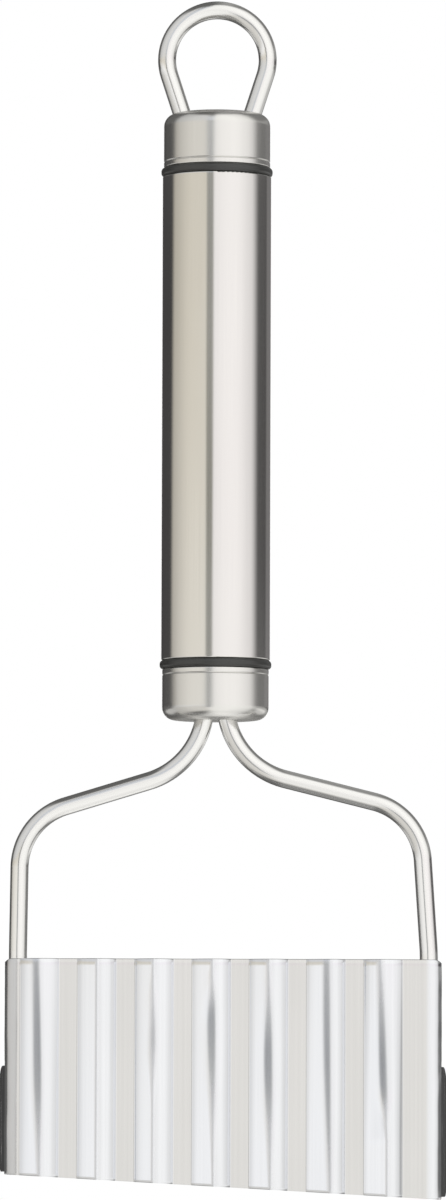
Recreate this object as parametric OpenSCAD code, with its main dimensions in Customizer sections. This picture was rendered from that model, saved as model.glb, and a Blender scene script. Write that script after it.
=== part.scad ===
// Crinkle cutter: a round tube handle, two wire arms and a fluted blade.
// It hangs upright by its loop. The origin is where a hook touches the inside
// of the loop, +Z is up along the handle, X runs along the blade and the front
// of the blade faces -Y.

/* [Handle] */
// Outside diameter of the tube
tube_d = 23.5; // [20:0.1:28]
// Length of the tube between the two rings
tube_len = 105; // [80:0.2:130]
// Wall of the tube
tube_wall = 0.8; // [0.5:0.05:1.2]
// Rounding of the tube's two rims
tube_lip = 0.35; // [0.1:0.05:0.5]

/* [Caps] */
// Height of the upper cap
upper_cap_h = 11.8; // [9:0.1:16]
// Height of the lower cap
lower_cap_h = 11; // [9:0.1:16]
// Wall of each end cap
cap_wall = 0.9; // [0.6:0.05:1.2]
// How far a cap is drawn in from the tube, on each side
cap_step = 0.25; // [0:0.05:0.5]
// Rounding of the closed end of a cap
cap_round = 2.7; // [1.6:0.1:3.5]
// Rounding of the open rim of a cap
cap_lip = 0.35; // [0.1:0.05:0.5]
// Distance of the turned line from the open rim of a cap
line_at = 1.1; // [0.8:0.1:3]
// Width of the turned line
line_w = 0.4; // [0.2:0.05:0.6]
// Depth of the turned line
line_deep = 0.15; // [0.05:0.05:0.3]

/* [Rings and plugs] */
// Height of each black ring
ring_h = 1.8; // [1.2:0.1:3]
// How far a ring stands proud of the tube, on each side
ring_proud = 0.3; // [0.1:0.05:0.6]
// Rounding of a ring's outer edges
ring_round = 0.7; // [0.2:0.05:0.9]
// How deep a plug reaches into the tube
plug_in_tube = 14; // [8:0.5:24]
// Distance of the upper plug from the closed end of its cap
plug_short = 0.5; // [0.2:0.1:3]
// Clearance between pieces that slide or press together
fit_gap = 0.05; // [0.02:0.01:0.1]
// Clearance round a wire where it passes through a cap
hole_gap = 0.15; // [0.05:0.05:0.4]

/* [Hanging loop] */
// Diameter of the wire in the loop and the arms
wire_d = 3.9; // [3.2:0.1:4.2]
// Radius of the loop, at the middle of the wire
loop_r = 10.9; // [9:0.1:13]
// Lean of the loop's legs towards each other
loop_lean = 18; // [8:0.5:24]
// Distance from the hook's seat down to the top of the upper cap
loop_drop = 20.8; // [19:0.1:26]
// How deep the legs of the loop reach below the top of the cap
leg_in = 15; // [8:0.5:18]

/* [Arms] */
// Distance between the two wires inside the lower plug, middle to middle
arm_pitch = 4.4; // [4.3:0.1:6]
// How high the arms reach into the lower plug
arm_in = 18; // [10:0.5:22]
// Distance from the lower cap to the corner where the arms turn outwards
neck_drop = 9.5; // [8:0.1:14]
// Radius of the bend below the cap
neck_bend = 17; // [14:0.5:22]
// Radius of the bend at each shoulder
shoulder_bend = 14; // [9:0.5:16]
// Fall of the left shoulder below level
left_slope = 17; // [8:0.1:24]
// Fall of the right shoulder below level
right_slope = 14; // [8:0.1:24]
// Outward lean of the left leg
left_lean = 0.8; // [0.4:0.1:5]
// Outward lean of the right leg
right_lean = 3.8; // [0.4:0.1:5]
// Radius of the slight bend where a leg enters the blade
entry_bend = 30; // [20:1:40]

/* [Blade] */
// Distance from the lower cap down to the top edge of the blade
blade_drop = 51.5; // [44:0.1:70]
// Height of the blade below the handle's axis
blade_h = 48.8; // [44:0.1:60]
// Slant of the cutting edge, deeper on the right
edge_slant = 3.15; // [0.5:0.05:5]
// Thickness of the sheet
sheet_t = 0.8; // [0.5:0.05:1]
// Number of flutes
flute_count = 7; // [3:2:9]
// Distance from one flute to the next
flute_pitch = 12.3; // [11:0.1:16]
// How far the row of flutes lies to the left of the handle's axis
flute_shift = 0.6; // [0:0.1:2]
// Width of a flute at its foot, at the middle of the sheet
flute_w = 8.6; // [7:0.1:9]
// Height of a flute above the flats, at the middle of the sheet
flute_h = 1.8; // [1.6:0.1:3]
// Flat between the first flute and the left arm
left_flat = 0.5; // [0.3:0.1:6]
// Flat between the last flute and the right arm
right_flat = 5.5; // [2.5:0.1:8]
// Height of the ground bevel behind the cutting edge
bevel_h = 2.4; // [1.5:0.1:4]
// Thickness left at the cutting edge
edge_t = 0.25; // [0.2:0.01:0.35]

/* [Blade ends] */
// Height over which the sheet is rolled round each arm
clasp_h = 22; // [14:0.5:26]
// Angle through which the sheet is rolled round each arm
clasp_wrap = 205; // [120:5:240]
// Length of arm held in the blade
arm_seat = 20; // [10:0.5:26]
// Rounding of the two top corners
corner_r = 1.8; // [0.5:0.1:2.4]
// Slot between a rolled end and the ear below it
slot_h = 1; // [0.6:0.1:3]
// Angle through which each ear is bent back
ear_bend = 80; // [60:1:90]
// Length of each ear behind the bend
ear_l = 8; // [6:0.5:12]
// Rounding of the upper corner of an ear
ear_top_r = 5; // [1:0.1:5.5]
// Rounding of the lower corner of an ear
ear_low_r = 3.4; // [1:0.1:5]
// Distance of the ears above the cutting edge
ear_rise = 0.6; // [0.2:0.1:3]

/* [Hidden] */
$fn = 96;
// Overlap of a cut past the face that it opens
over = 1;
// A straight and a bend of wire end this far from their joint, inside a ball that is a hair thicker
joint_gap = 0.05;
ball_swell = 0.01;
// Turn of a ball about the wire, so that its seam stays clear of the wire's own
ball_turn = 50;
// An ear is a hair thinner than its bend, which it runs into by this much
ear_thin = 0.02;
ear_root = 0.3;

// Heights of the joints down the handle
cap_top_z = -loop_drop;
upper_ring_z = cap_top_z - upper_cap_h - ring_h;
tube_z = upper_ring_z - tube_len;
lower_ring_z = tube_z - ring_h;
cap_low_z = lower_ring_z - lower_cap_h;
blade_top_z = cap_low_z - blade_drop;

// Wires
wire_r = wire_d / 2;
loop_z = wire_r - loop_r;
leg_l = (loop_drop + leg_in + loop_z - loop_r * sin(loop_lean)) / cos(loop_lean);
neck_z = cap_low_z - neck_drop;
arm_bends = [neck_bend, shoulder_bend, entry_bend];
entry_z = blade_top_z + 1.5 * entry_bend * tan(max(left_lean, right_lean) / 2);

// Sheet of the blade, with its flats against the front of the arms
clasp_r = wire_r + fit_gap;
sheet_y = -clasp_r - sheet_t / 2;
crest_r = (flute_w ^ 2 / 4 + flute_h ^ 2) / (2 * flute_h);
flute_span = (flute_count - 1) * flute_pitch;
flute_xs = [for (i = [0 : flute_count - 1]) i * flute_pitch - flute_span / 2 - flute_shift];
left_reach = (flute_span + flute_w) / 2 + flute_shift + left_flat;
right_reach = (flute_span + flute_w) / 2 - flute_shift + right_flat;
blade_low_z = blade_top_z - blade_h - (right_reach + ear_l) * tan(edge_slant);
bevel_tilt = atan((sheet_t - edge_t) / bevel_h);
bevel_turn = atan(tan(edge_slant) * tan(bevel_tilt));

function edge_z(x) = blade_top_z - blade_h - x * tan(edge_slant);

// What rounding a square corner to radius r takes away
module corner_waste(r) {
    difference() {
        square(r + over);
        circle(r);
    }
}

// Half section of a round-ended body, from its axis out to radius r
module half_section(r, h, top_r, low_r) {
    difference() {
        square([r, h]);
        if (top_r > 0) translate([r - top_r, h - top_r]) corner_waste(top_r);
        if (low_r > 0) translate([r - low_r, low_r]) mirror([0, 1]) corner_waste(low_r);
    }
}

// A round body on the handle's axis, drawn in by inset from the outside of the tube
module round_body(inset, h, top_r = 0, low_r = 0) {
    rotate_extrude() half_section(tube_d / 2 - inset, h, top_r, low_r);
}

// Drawn cap of height h, open at z = 0 and closed at the top
module cap_shell(h) {
    inner = cap_step + cap_wall;
    difference() {
        round_body(cap_step, h, cap_round, cap_lip);
        translate([0, 0, -over])
            round_body(inner, h - cap_wall + over, cap_round - cap_wall);
        rotate_extrude() translate([tube_d / 2 - cap_step, line_at + line_w / 2])
            polygon([[-line_deep, 0], [line_deep, -line_w], [line_deep, line_w]]);
    }
}

// Ring that stands proud between the tube and a cap, round the waist of a plug
module ring_body() {
    difference() {
        round_body(-ring_proud, ring_h, ring_round, ring_round);
        translate([0, 0, -over])
            round_body(cap_step + cap_wall, ring_h + 2 * over);
    }
}

// Plug from z = 0 at the tube's rim: up through the ring into a cap, down into the tube
module plug_body(in_cap) {
    neck = cap_step + cap_wall + fit_gap;
    round_body(neck, ring_h + in_cap, tube_lip);
    translate([0, 0, -plug_in_tube])
        round_body(tube_wall + fit_gap, plug_in_tube - fit_gap, 0, tube_lip);
    translate([0, 0, -over]) round_body(neck, 2 * over);
}

// Straight length of wire between two points of a plane
module straight(a, b, d) {
    run = b - a;
    translate([a.x, a.y, 0]) rotate([0, 90, atan2(run.y, run.x)]) cylinder(h = norm(run), d = d);
}

// Round bend of wire in a plane, from the angle start through the angle sweep
module round_bend(centre, r, start, sweep, d) {
    short = joint_gap / r * 180 / PI;
    translate([centre.x, centre.y, 0]) rotate(start + short)
        rotate_extrude(angle = sweep - 2 * short) translate([r, 0]) circle(d = d);
}

function unit(v) = v / norm(v);
function turn(u, v) = atan2(u.x * v.y - u.y * v.x, u * v);

// Ball that closes the joint between a straight and a bend, turned along the wire
module joint_ball(p, way, d) {
    translate([p.x, p.y, 0]) rotate([0, 90, atan2(way.y, way.x)]) rotate(ball_turn)
        sphere(d / 2 + ball_swell);
}

// Wire along a line of corners in a plane, with a round bend at each inner corner
module bent_wire(corners, bends, d) {
    last = len(corners) - 1;
    ways = [for (i = [0 : last - 1]) unit(corners[i + 1] - corners[i])];
    turns = [for (i = [1 : last - 1]) turn(ways[i - 1], ways[i])];
    trims = [for (i = [0 : last - 2]) bends[i] * tan(abs(turns[i]) / 2)];
    starts = concat([0], [for (t = trims) t + joint_gap]);
    ends = concat([for (t = trims) t + joint_gap], [0]);
    for (i = [0 : last - 1])
        straight(corners[i] + starts[i] * ways[i], corners[i + 1] - ends[i] * ways[i], d);
    for (i = [1 : last - 1]) {
        r = bends[i - 1];
        sweep = abs(turns[i - 1]);
        hand = sign(turns[i - 1]);
        inward = hand * [-ways[i - 1].y, ways[i - 1].x];
        start = corners[i] - trims[i - 1] * ways[i - 1];
        from = atan2(-inward.y, -inward.x) + (hand > 0 ? 0 : -sweep);
        round_bend(start + r * inward, r, from, sweep, d);
        joint_ball(start, ways[i - 1], d);
        joint_ball(corners[i] + trims[i - 1] * ways[i], ways[i], d);
    }
}

// Top of one leg of the loop, where it leaves the round part, and the way it runs from there
function leg_top(hand) = [hand * loop_r * cos(loop_lean), loop_z - loop_r * sin(loop_lean)];
function leg_way(hand) = [-hand * sin(loop_lean), -cos(loop_lean)];

// One leg of the loop, or the hole for it, from a height above its end
module loop_leg(hand, up, down, d) {
    straight(leg_top(hand) + up * leg_way(hand), leg_top(hand) + (leg_l + down) * leg_way(hand), d);
}

// Sockets or holes for both legs of the loop
module leg_holes(gap, deeper) {
    rotate([90, 0, 0]) for (hand = [-1, 1]) loop_leg(hand, joint_gap, deeper, wire_d + 2 * gap);
}

// Corners of an arm on the right, from inside the plug to its end in the blade
function arm_corners(reach, slope, lean) =
    let (half = arm_pitch / 2)
    let (fall = neck_z + half * tan(slope) - entry_z)
    let (corner_x = (reach - fall * tan(lean)) / (1 - tan(slope) * tan(lean)))
    [
        [half, cap_low_z + arm_in],
        [half, neck_z],
        [corner_x, neck_z - (corner_x - half) * tan(slope)],
        [reach, entry_z],
        [reach, blade_top_z - arm_seat]
    ];

// Where the neck bend of an arm begins, and its angle from upright at the lower cap
function neck_start(slope) = neck_z + neck_bend * tan((90 - slope) / 2);
function exit_angle(slope) = asin((neck_start(slope) - cap_low_z - cap_wall / 2) / neck_bend);

// Hole for an arm on the right through the closed end of the lower cap
module exit_hole(slope) {
    angle = exit_angle(slope);
    translate([arm_pitch / 2 + neck_bend * (1 - cos(angle)), 0, cap_low_z + cap_wall / 2])
        rotate([0, -angle, 0])
            cylinder(h = 2 * (cap_wall + over), d = wire_d + 2 * hole_gap, center = true);
}

// Everything behind a line that runs ahead of the middle of the sheet, front upwards
module behind_sheet(ahead, deep, wider = 0) {
    translate([-left_reach - wider, -deep])
        square([left_reach + right_reach + 2 * wider, deep + ahead]);
    for (x = flute_xs) translate([x, flute_h - crest_r]) circle(crest_r + ahead);
}

// Section of the sheet between the two arms: flats at one level, with a round flute between each two
module sheet_section() {
    deep = 2 * crest_r;
    intersection() {
        difference() {
            behind_sheet(sheet_t / 2, deep);
            behind_sheet(-sheet_t / 2, deep, over);
        }
        translate([-left_reach, -sheet_t / 2])
            square([left_reach + right_reach, flute_h + sheet_t + over]);
    }
}

// The fluted sheet, square at its foot
module fluted_sheet() {
    translate([0, sheet_y, blade_low_z]) mirror([0, 1, 0])
        linear_extrude(blade_top_z - blade_low_z) sheet_section();
}

// Sheet rolled round the arm through an angle, from the front of the arm
module rolled(wrap, z, h) {
    translate([0, 0, z]) rotate(-90)
        rotate_extrude(angle = wrap) translate([clasp_r, 0]) square([sheet_t, h]);
}

// Ear of the sheet with round corners behind, standing on its bent edge
module ear_outline(h) {
    difference() {
        square([ear_root + ear_l, h]);
        translate([ear_root + ear_l - ear_top_r, h - ear_top_r]) corner_waste(ear_top_r);
        translate([ear_root + ear_l - ear_low_r, ear_low_r]) mirror([0, 1]) corner_waste(ear_low_r);
    }
}

// End of the blade on the right: rolled round the arm above, bent back to an ear below
module blade_end(reach, low_z) {
    clasp_z = blade_top_z - clasp_h;
    ear_z = low_z + ear_rise;
    translate([reach, 0, 0]) difference() {
        union() {
            rolled(clasp_wrap, clasp_z, clasp_h);
            rolled(ear_bend, blade_low_z, clasp_z - blade_low_z);
            rotate(ear_bend - 90) translate([clasp_r + ear_thin, -ear_root, ear_z]) rotate([90, 0, 90])
                linear_extrude(sheet_t - 2 * ear_thin) ear_outline(clasp_z - slot_h - ear_z);
        }
        translate([clasp_r + sheet_t - corner_r, clasp_r + sheet_t + over, blade_top_z - corner_r])
            rotate([90, 0, 0]) linear_extrude(2 * (clasp_r + sheet_t + over)) corner_waste(corner_r);
    }
}

// What lies below the slanting cutting edge
module edge_waste() {
    long = left_reach + right_reach + 4 * ear_l;
    translate([0, 0, edge_z(0)]) rotate([0, edge_slant, 0])
        translate([-long / 2, -long / 2, -long]) cube(long);
}

// What grinding takes off the back of the sheet along the cutting edge
module bevel_waste() {
    tall = 3 * bevel_h;
    translate([0, sheet_y, edge_z(0)]) mirror([0, 1, 0])
        rotate(-bevel_turn) rotate([bevel_tilt, 0, 0]) translate([0, 0, -2 * tall])
            linear_extrude(4 * tall) behind_sheet(sheet_t / 2 - edge_t, 2 * sheet_t);
}

module handle_tube() {
    color("lightgray") translate([0, 0, tube_z]) difference() {
        round_body(0, tube_len, tube_lip, tube_lip);
        translate([0, 0, -over]) round_body(tube_wall, tube_len + 2 * over);
    }
}

module upper_cap() {
    color("silver") difference() {
        translate([0, 0, cap_top_z - upper_cap_h]) cap_shell(upper_cap_h);
        leg_holes(hole_gap, 0);
    }
}

module lower_cap() {
    color("silver") difference() {
        translate([0, 0, lower_ring_z]) mirror([0, 0, 1]) cap_shell(lower_cap_h);
        exit_hole(right_slope);
        mirror([1, 0, 0]) exit_hole(left_slope);
    }
}

module upper_ring() {
    color([0.09, 0.09, 0.09]) translate([0, 0, upper_ring_z]) ring_body();
}

module lower_ring() {
    color([0.09, 0.09, 0.09]) translate([0, 0, lower_ring_z]) ring_body();
}

module upper_plug() {
    color([0.2, 0.2, 0.2]) difference() {
        translate([0, 0, upper_ring_z]) plug_body(upper_cap_h - cap_wall - plug_short);
        leg_holes(fit_gap, fit_gap);
    }
}

module lower_plug() {
    low_z = max(neck_start(left_slope), neck_start(right_slope)) + fit_gap;
    socket_h = cap_low_z + arm_in + fit_gap - low_z;
    color([0.2, 0.2, 0.2]) difference() {
        translate([0, 0, tube_z]) mirror([0, 0, 1]) plug_body(lower_ring_z - low_z);
        for (hand = [-1, 1]) translate([hand * arm_pitch / 2, 0, low_z - over])
            cylinder(h = socket_h + over, d = wire_d + 2 * fit_gap);
    }
}

module hanging_loop() {
    color("gainsboro") rotate([90, 0, 0]) {
        round_bend([0, loop_z], loop_r, -loop_lean, 180 + 2 * loop_lean, wire_d);
        for (hand = [-1, 1]) {
            loop_leg(hand, joint_gap, 0, wire_d);
            joint_ball(leg_top(hand), leg_way(hand), wire_d);
        }
    }
}

module left_arm() {
    color("gainsboro") mirror([1, 0, 0]) rotate([90, 0, 0])
        bent_wire(arm_corners(left_reach, left_slope, left_lean), arm_bends, wire_d);
}

module right_arm() {
    color("gainsboro") rotate([90, 0, 0])
        bent_wire(arm_corners(right_reach, right_slope, right_lean), arm_bends, wire_d);
}

module blade() {
    color("whitesmoke") difference() {
        union() {
            fluted_sheet();
            blade_end(right_reach, edge_z(right_reach));
            mirror([1, 0, 0]) blade_end(left_reach, edge_z(-left_reach));
        }
        edge_waste();
        bevel_waste();
    }
}

handle_tube();
upper_cap();
lower_cap();
upper_ring();
lower_ring();
upper_plug();
lower_plug();
hanging_loop();
left_arm();
right_arm();
blade();
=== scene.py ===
"""Crinkle cutter: the finished look, built round the packed solids.

Laid out as an add-on and run as a script. The loop and the arms are wires bent
along a path, and the blade is a flat blank that a forming rule presses, rolls
and bends. The tube, caps, rings and plugs keep their solids and get a finish.
"""

from math import cos, pi, radians, sin, sqrt, tan

import bpy
from bpy.props import FloatProperty, FloatVectorProperty, IntProperty, PointerProperty
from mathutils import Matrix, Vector


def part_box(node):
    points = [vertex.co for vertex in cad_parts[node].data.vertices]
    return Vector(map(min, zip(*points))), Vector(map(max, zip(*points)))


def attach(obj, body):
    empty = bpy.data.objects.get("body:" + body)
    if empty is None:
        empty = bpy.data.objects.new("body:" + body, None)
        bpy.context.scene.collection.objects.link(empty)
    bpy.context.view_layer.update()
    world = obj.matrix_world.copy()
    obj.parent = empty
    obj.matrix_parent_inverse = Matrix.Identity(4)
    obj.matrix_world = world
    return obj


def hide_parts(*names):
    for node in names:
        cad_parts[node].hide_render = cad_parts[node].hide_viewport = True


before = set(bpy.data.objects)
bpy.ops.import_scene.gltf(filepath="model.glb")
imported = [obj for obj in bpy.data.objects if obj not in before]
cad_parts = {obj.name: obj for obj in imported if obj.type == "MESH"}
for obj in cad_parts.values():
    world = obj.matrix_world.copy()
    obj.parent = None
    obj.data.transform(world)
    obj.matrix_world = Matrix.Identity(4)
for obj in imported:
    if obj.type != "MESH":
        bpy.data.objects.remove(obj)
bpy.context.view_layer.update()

bl_info = {
    "name": "Crinkle cutter",
    "version": (1, 0, 0),
    "blender": (4, 5, 0),
    "location": "View3D > Sidebar > Cutter",
    "description": "Wires, fluted blade and finishes of a hand-held crinkle cutter",
    "category": "Object",
}

MM = 0.001
BODY = "root"

# Taken from the solids: radius of the tube and of a cap, foot of the lower cap, top of the blade
HANDLE_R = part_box("handle_tube")[1].x
CAP_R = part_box("upper_cap")[1].x
CAP_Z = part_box("lower_cap")[0].z
TOP_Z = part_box("blade")[1].z

SMOOTH_BELOW = radians(32)
# Points closer than this are one
TOUCH = 1e-6
# Bends that follow each other are this much short, so that no two points fall together
SHY = 0.998
# An arm's last corner lies this many tangent lengths of its bend above the blade
ENTRY_ROOM = 1.5
# Dents in the rolled ends, to a metre across the sheet and along the roll
DENT_ACROSS, DENT_ALONG = 260, 130
# Where a cap's turned end gives way to its side, in shares of its radius
CAP_END = (0.82, 0.965)
# Half the floor's width, and the place of the lamp above the cutter, in metres
FLOOR_HALF = 6.0
LAMP_AT = (0.0, -0.2, 1.3)

# Rises of a ray at which the blade, the arms and the handle start or stop to mirror it
OVER_BLADE = (0.02, 0.06)
ARM_FOOT = (0.024, 0.034)
ARM_TOP = (0.03, 0.056)
HANDLE_FOOT = (0.044, 0.056)
HANDLE_TOP = (0.127, 0.14)


def sized(kind, scale=1, **always):
    """A function that makes one kind of property, with its default in units of a scale."""

    def make(label, words, value, **more):
        return kind(name=label, description=words, default=value * scale, **always, **more)

    return make


# Lengths are given in millimetres and angles in degrees
length = sized(FloatProperty, MM, unit="LENGTH", precision=5)
angle = sized(FloatProperty, radians(1), unit="ROTATION")
power = sized(FloatProperty, unit="POWER")
share = sized(FloatProperty, min=0.0, max=1.0, subtype="FACTOR")
whole = sized(IntProperty)
tint = sized(FloatVectorProperty, size=3, subtype="COLOR", min=0.0, max=1.0)


class WireSizes(bpy.types.PropertyGroup):
    """Sizes of the loop and of the two arms."""

    diameter: length("Diameter", "Thickness of the wire", 3.9)
    loop_r: length("Loop radius", "Radius of the loop at the middle of the wire", 10.9)
    loop_lean: angle("Leg lean", "Lean of the loop's legs towards each other", 18)
    loop_drop: length("Loop drop", "From the hook's seat down to the upper cap", 20.8)
    leg_in: length("Leg depth", "Length of the legs below the top of the cap", 15)
    arm_pitch: length("Arm pitch", "Distance between the arms inside the plug", 4.4)
    arm_in: length("Arm depth", "Length of the arms above the foot of the cap", 18)
    neck_drop: length("Neck drop", "From the lower cap to the outward corner", 9.5)
    neck_bend: length("Neck bend", "Radius of the bend below the cap", 17)
    shoulder_bend: length("Shoulder bend", "Radius of the bend at a shoulder", 14)
    entry_bend: length("Entry bend", "Radius of the bend above the blade", 30)
    left_slope: angle("Left slope", "Fall of the left shoulder below level", 17)
    right_slope: angle("Right slope", "Fall of the right shoulder below level", 14)
    left_lean: angle("Left lean", "Outward lean of the left leg", 0.8)
    right_lean: angle("Right lean", "Outward lean of the right leg", 3.8)
    seat: length("Seat", "Length of an arm held in the blade", 20)
    sides: whole("Sides", "Faces round the wire", 48, min=12)
    steps: whole("Bend steps", "Points in a bend", 40, min=8)


class BladeSizes(bpy.types.PropertyGroup):
    """Sizes of the fluted blade."""

    sheet: length("Sheet", "Thickness of the sheet", 0.8)
    fit_gap: length("Fit gap", "Clearance between the sheet and an arm", 0.05)
    flutes: whole("Flutes", "Number of flutes", 7, min=3)
    pitch: length("Pitch", "Distance from one flute to the next", 12.3)
    shift: length("Shift", "How far the flutes lie to the left of the handle's axis", 0.6)
    flute_w: length("Flute width", "Width of a flute at its foot", 8.6)
    flute_h: length("Flute height", "Height of a flute above the flats", 1.8)
    foot_r: length("Foot radius", "Radius of the bend at the foot of a flute", 0.7)
    left_flat: length("Left flat", "Flat between the first flute and the left arm", 0.5)
    right_flat: length("Right flat", "Flat between the last flute and the right arm", 5.5)
    height: length("Height", "Height of the sheet at the handle's axis", 48.8)
    slant: angle("Slant", "Slant of the cutting edge", 3.15)
    bevel_h: length("Bevel", "Height of the ground bevel", 2.4)
    edge_t: length("Edge", "Thickness left at the cutting edge", 0.25)
    clasp_h: length("Clasp", "Height of the sheet rolled round each arm", 22)
    clasp_wrap: angle("Clasp wrap", "Angle of the sheet rolled round each arm", 205)
    dents: length("Dents", "Unevenness left by rolling the ends round the arms", 0.25)
    corner_r: length("Corner", "Rounding of the two top corners", 1.8)
    slot_h: length("Slot", "Gap between a rolled end and the ear below it", 1)
    ear_bend: angle("Ear bend", "Angle through which each ear is bent back", 80)
    ear_l: length("Ear length", "Length of each ear behind its bend", 8)
    ear_top_r: length("Ear top", "Rounding of the upper corner of an ear", 5)
    ear_low_r: length("Ear foot", "Rounding of the lower corner of an ear", 3.4)
    ear_rise: length("Ear rise", "Height of the ears above the cutting edge", 0.6)
    crown_r: length("Crown radius", "Radius of a crown that the press left round", 0.3)
    worn_r: length("Worn radius", "Radius of a crown that the press flattened", 34)
    face: angle("Crown face", "Angle by which the crowns face to the left", 6.9)
    top_round: length("Top round", "Rounding of the top edge", 0.25)
    foot_round: length("Foot round", "Height of the rounding above the cutting edge", 0.5)


class Finishes(bpy.types.PropertyGroup):
    """Colours and roughness of the finishes."""

    handle: tint("Handle steel", "Colour of the brushed tube and caps", (0.80, 0.79, 0.765))
    handle_rough: share("Handle roughness", "Roughness of the brushed tube", 0.12)
    cap_rough: share("Cap roughness", "Roughness of the sides of the caps", 0.228)
    cap_end_rough: share("Cap end roughness", "Roughness of the turned ends of the caps", 0.5)
    wire: tint("Wire steel", "Colour of the bright wire", (0.86, 0.855, 0.84))
    wire_rough: share("Wire roughness", "Roughness of the bright wire", 0.16)
    # Flats and flutes are the same sheet steel: the lighter, bluer flute tone is painted reflection
    # over the darker flat tone
    flats: tint("Flat steel", "Colour of the rolled flats of the blade", (0.72, 0.712, 0.70))
    flutes: tint("Flute steel", "Colour of the brighter flutes", (0.81, 0.82, 0.845))
    blade_rough: share("Blade roughness", "Roughness of the blade", 0.11)
    satin: share("Satin", "Roughness added on round crowns and the left rolled end", 0.4)
    rubber: tint("Ring rubber", "Colour of the black rings", (0.03, 0.03, 0.028))
    nylon: tint("Plug nylon", "Colour of the inner plugs", (0.1, 0.1, 0.1))


class StageSizes(bpy.types.PropertyGroup):
    """Camera, floor and light."""

    distance: length("Distance", "Camera to the handle's axis", 1800)
    rise: angle("Rise", "Angle at which the camera looks up", 4.05)
    roll: angle("Roll", "Turn of the camera about its view", 0.18)
    side: length("Side", "Shift of the view to the right of the axis", 1.58)
    middle: length("Middle", "Height of the picture's middle", -126.23)
    tall: length("Tall", "Height that the picture takes in", 258.96)
    floor_z: length("Floor", "Height of the floor", -300)
    paper: tint("Paper", "Colour of the floor", (0.9, 0.9, 0.9))
    slit: angle("Slit", "How far the slit between the panels lies to the left", 14)
    lamp_w: length("Lamp", "Width of the lamp overhead", 1200)
    lamp_power: power("Lamp power", "Power of the lamp overhead", 9.0)


# What the press left on each crown, from left to right: where a flat starts, is widest and ends,
# in shares of the height below the top edge, how flat it is there and, in millimetres, its place
# beside the crown's middle at half height and its drift down to the foot.
PRESS_MARKS = (
    (-1.30, 0.40, 1.20, 0.98, -0.37, 1.2),
    (0.00, 0.50, 1.00, 0.00, 0.0, 0.0),
    (0.02, 0.35, 0.66, 0.62, -0.2, 0.0),
    (0.00, 0.28, 1.00, 1.00, 0.35, 0.3),
    (-0.10, 0.45, 1.12, 1.00, 0.2, 0.5),
    (-1.00, 0.45, 1.45, 0.97, 0.65, 0.8),
    (-0.45, 0.55, 0.80, 0.95, 0.26, 2.0),
)

# Inputs of the forming tree: sizes of the blade, and places in the order they are worked out
FLUTE_SIZES = ("flutes", "pitch", "shift", "flute_w", "flute_h", "foot_r", "crown_r", "worn_r")
SHEET_SIZES = ("sheet", "dents", "bevel_h", "edge_t", "top_round", "foot_round")
FORM_PLACES = ("Roll radius", "Left reach", "Right reach", "Edge height", "Edge slope", "Face slope")


def operation(kind):
    """A method that puts a term, with others where it takes them, through a math node."""
    return lambda term, *others: term.call(kind, *others)


class Term:
    """A socket of a node tree that can be used in a sum."""

    def __init__(self, socket):
        self.socket = socket

    def call(self, kind, *others):
        values = dict(enumerate((self, *others)))
        return feed(self.socket.id_data, "ShaderNodeMath", values, operation=kind)

    __add__ = __radd__ = operation("ADD")
    __sub__ = operation("SUBTRACT")
    __mul__ = __rmul__ = operation("MULTIPLY")
    __truediv__ = operation("DIVIDE")
    __abs__ = operation("ABSOLUTE")
    least = operation("MINIMUM")
    most = operation("MAXIMUM")
    below = operation("LESS_THAN")
    power = operation("POWER")

    def __neg__(self):
        return self * -1.0

    def __rsub__(self, other):
        return -self + other

    def __rtruediv__(self, other):
        return self.power(-1.0) * other

    def root(self):
        return self.most(0.0).call("SQRT")

    def ramp(self, low, high, out_low=0.0, out_high=1.0):
        """Smooth step from low to high."""
        values = dict(enumerate((self, low, high, out_low, out_high)))
        tree = self.socket.id_data
        return feed(tree, "ShaderNodeMapRange", values, interpolation_type="SMOOTHSTEP")

    def fade(self, low, high):
        """Smooth step down from one to nought."""
        return 1.0 - self.ramp(low, high)


def plug(slot, value):
    """Link a term to an input, or set the input to a plain value."""
    if isinstance(value, Term):
        slot.id_data.links.new(value.socket, slot)
    else:
        slot.default_value = value


def fill_in(node, values):
    """Link or set inputs of a node, which are named or numbered."""
    for key, value in values.items():
        plug(node.inputs[key], value)


def add(tree, kind, ins=None, **settings):
    """New node with its settings and its inputs."""
    node = tree.nodes.new(kind)
    for key, value in settings.items():
        setattr(node, key, value)
    fill_in(node, ins or {})
    return node


def out(node, key=0):
    """An output of a node as a term."""
    return Term(node.outputs[key])


def feed(tree, kind, ins=None, **settings):
    """The first output of a new node."""
    return out(add(tree, kind, ins, **settings))


def split(vector):
    """The three terms of a vector."""
    node = add(vector.socket.id_data, "ShaderNodeSeparateXYZ", {0: vector})
    return tuple(out(node, key) for key in range(3))


def join(tree, x, y, z):
    """A vector of three terms."""
    return feed(tree, "ShaderNodeCombineXYZ", {0: x, 1: y, 2: z})


def times(tree, vector, factor):
    """A vector or colour times a factor."""
    return feed(tree, "ShaderNodeVectorMath", {0: vector, "Scale": factor}, operation="SCALE")


def noise(tree, place, scale=1.0, detail=2.0, rough=0.5):
    """A noise that changes from place to place."""
    values = {"Vector": place, "Scale": scale, "Detail": detail, "Roughness": rough}
    return feed(tree, "ShaderNodeTexNoise", values)


def new_group(name, kind, inputs, outputs):
    """Node group with named sockets: the tree, its input terms by name, and its output node."""
    tree = bpy.data.node_groups.new(name, kind)
    for way, sockets in (("INPUT", inputs), ("OUTPUT", outputs)):
        for label, socket in sockets.items():
            tree.interface.new_socket(label, in_out=way, socket_type="NodeSocket" + socket)
    source = tree.nodes.new("NodeGroupInput")
    terms = {label: out(source, label) for label in inputs}
    return tree, terms, tree.nodes.new("NodeGroupOutput")


def made_once(build):
    """Build a node group when it is first asked for, and find it by its name after that."""
    name = build.__name__.replace("_", " ")
    return lambda: bpy.data.node_groups.get(name) or build(name)


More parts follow.
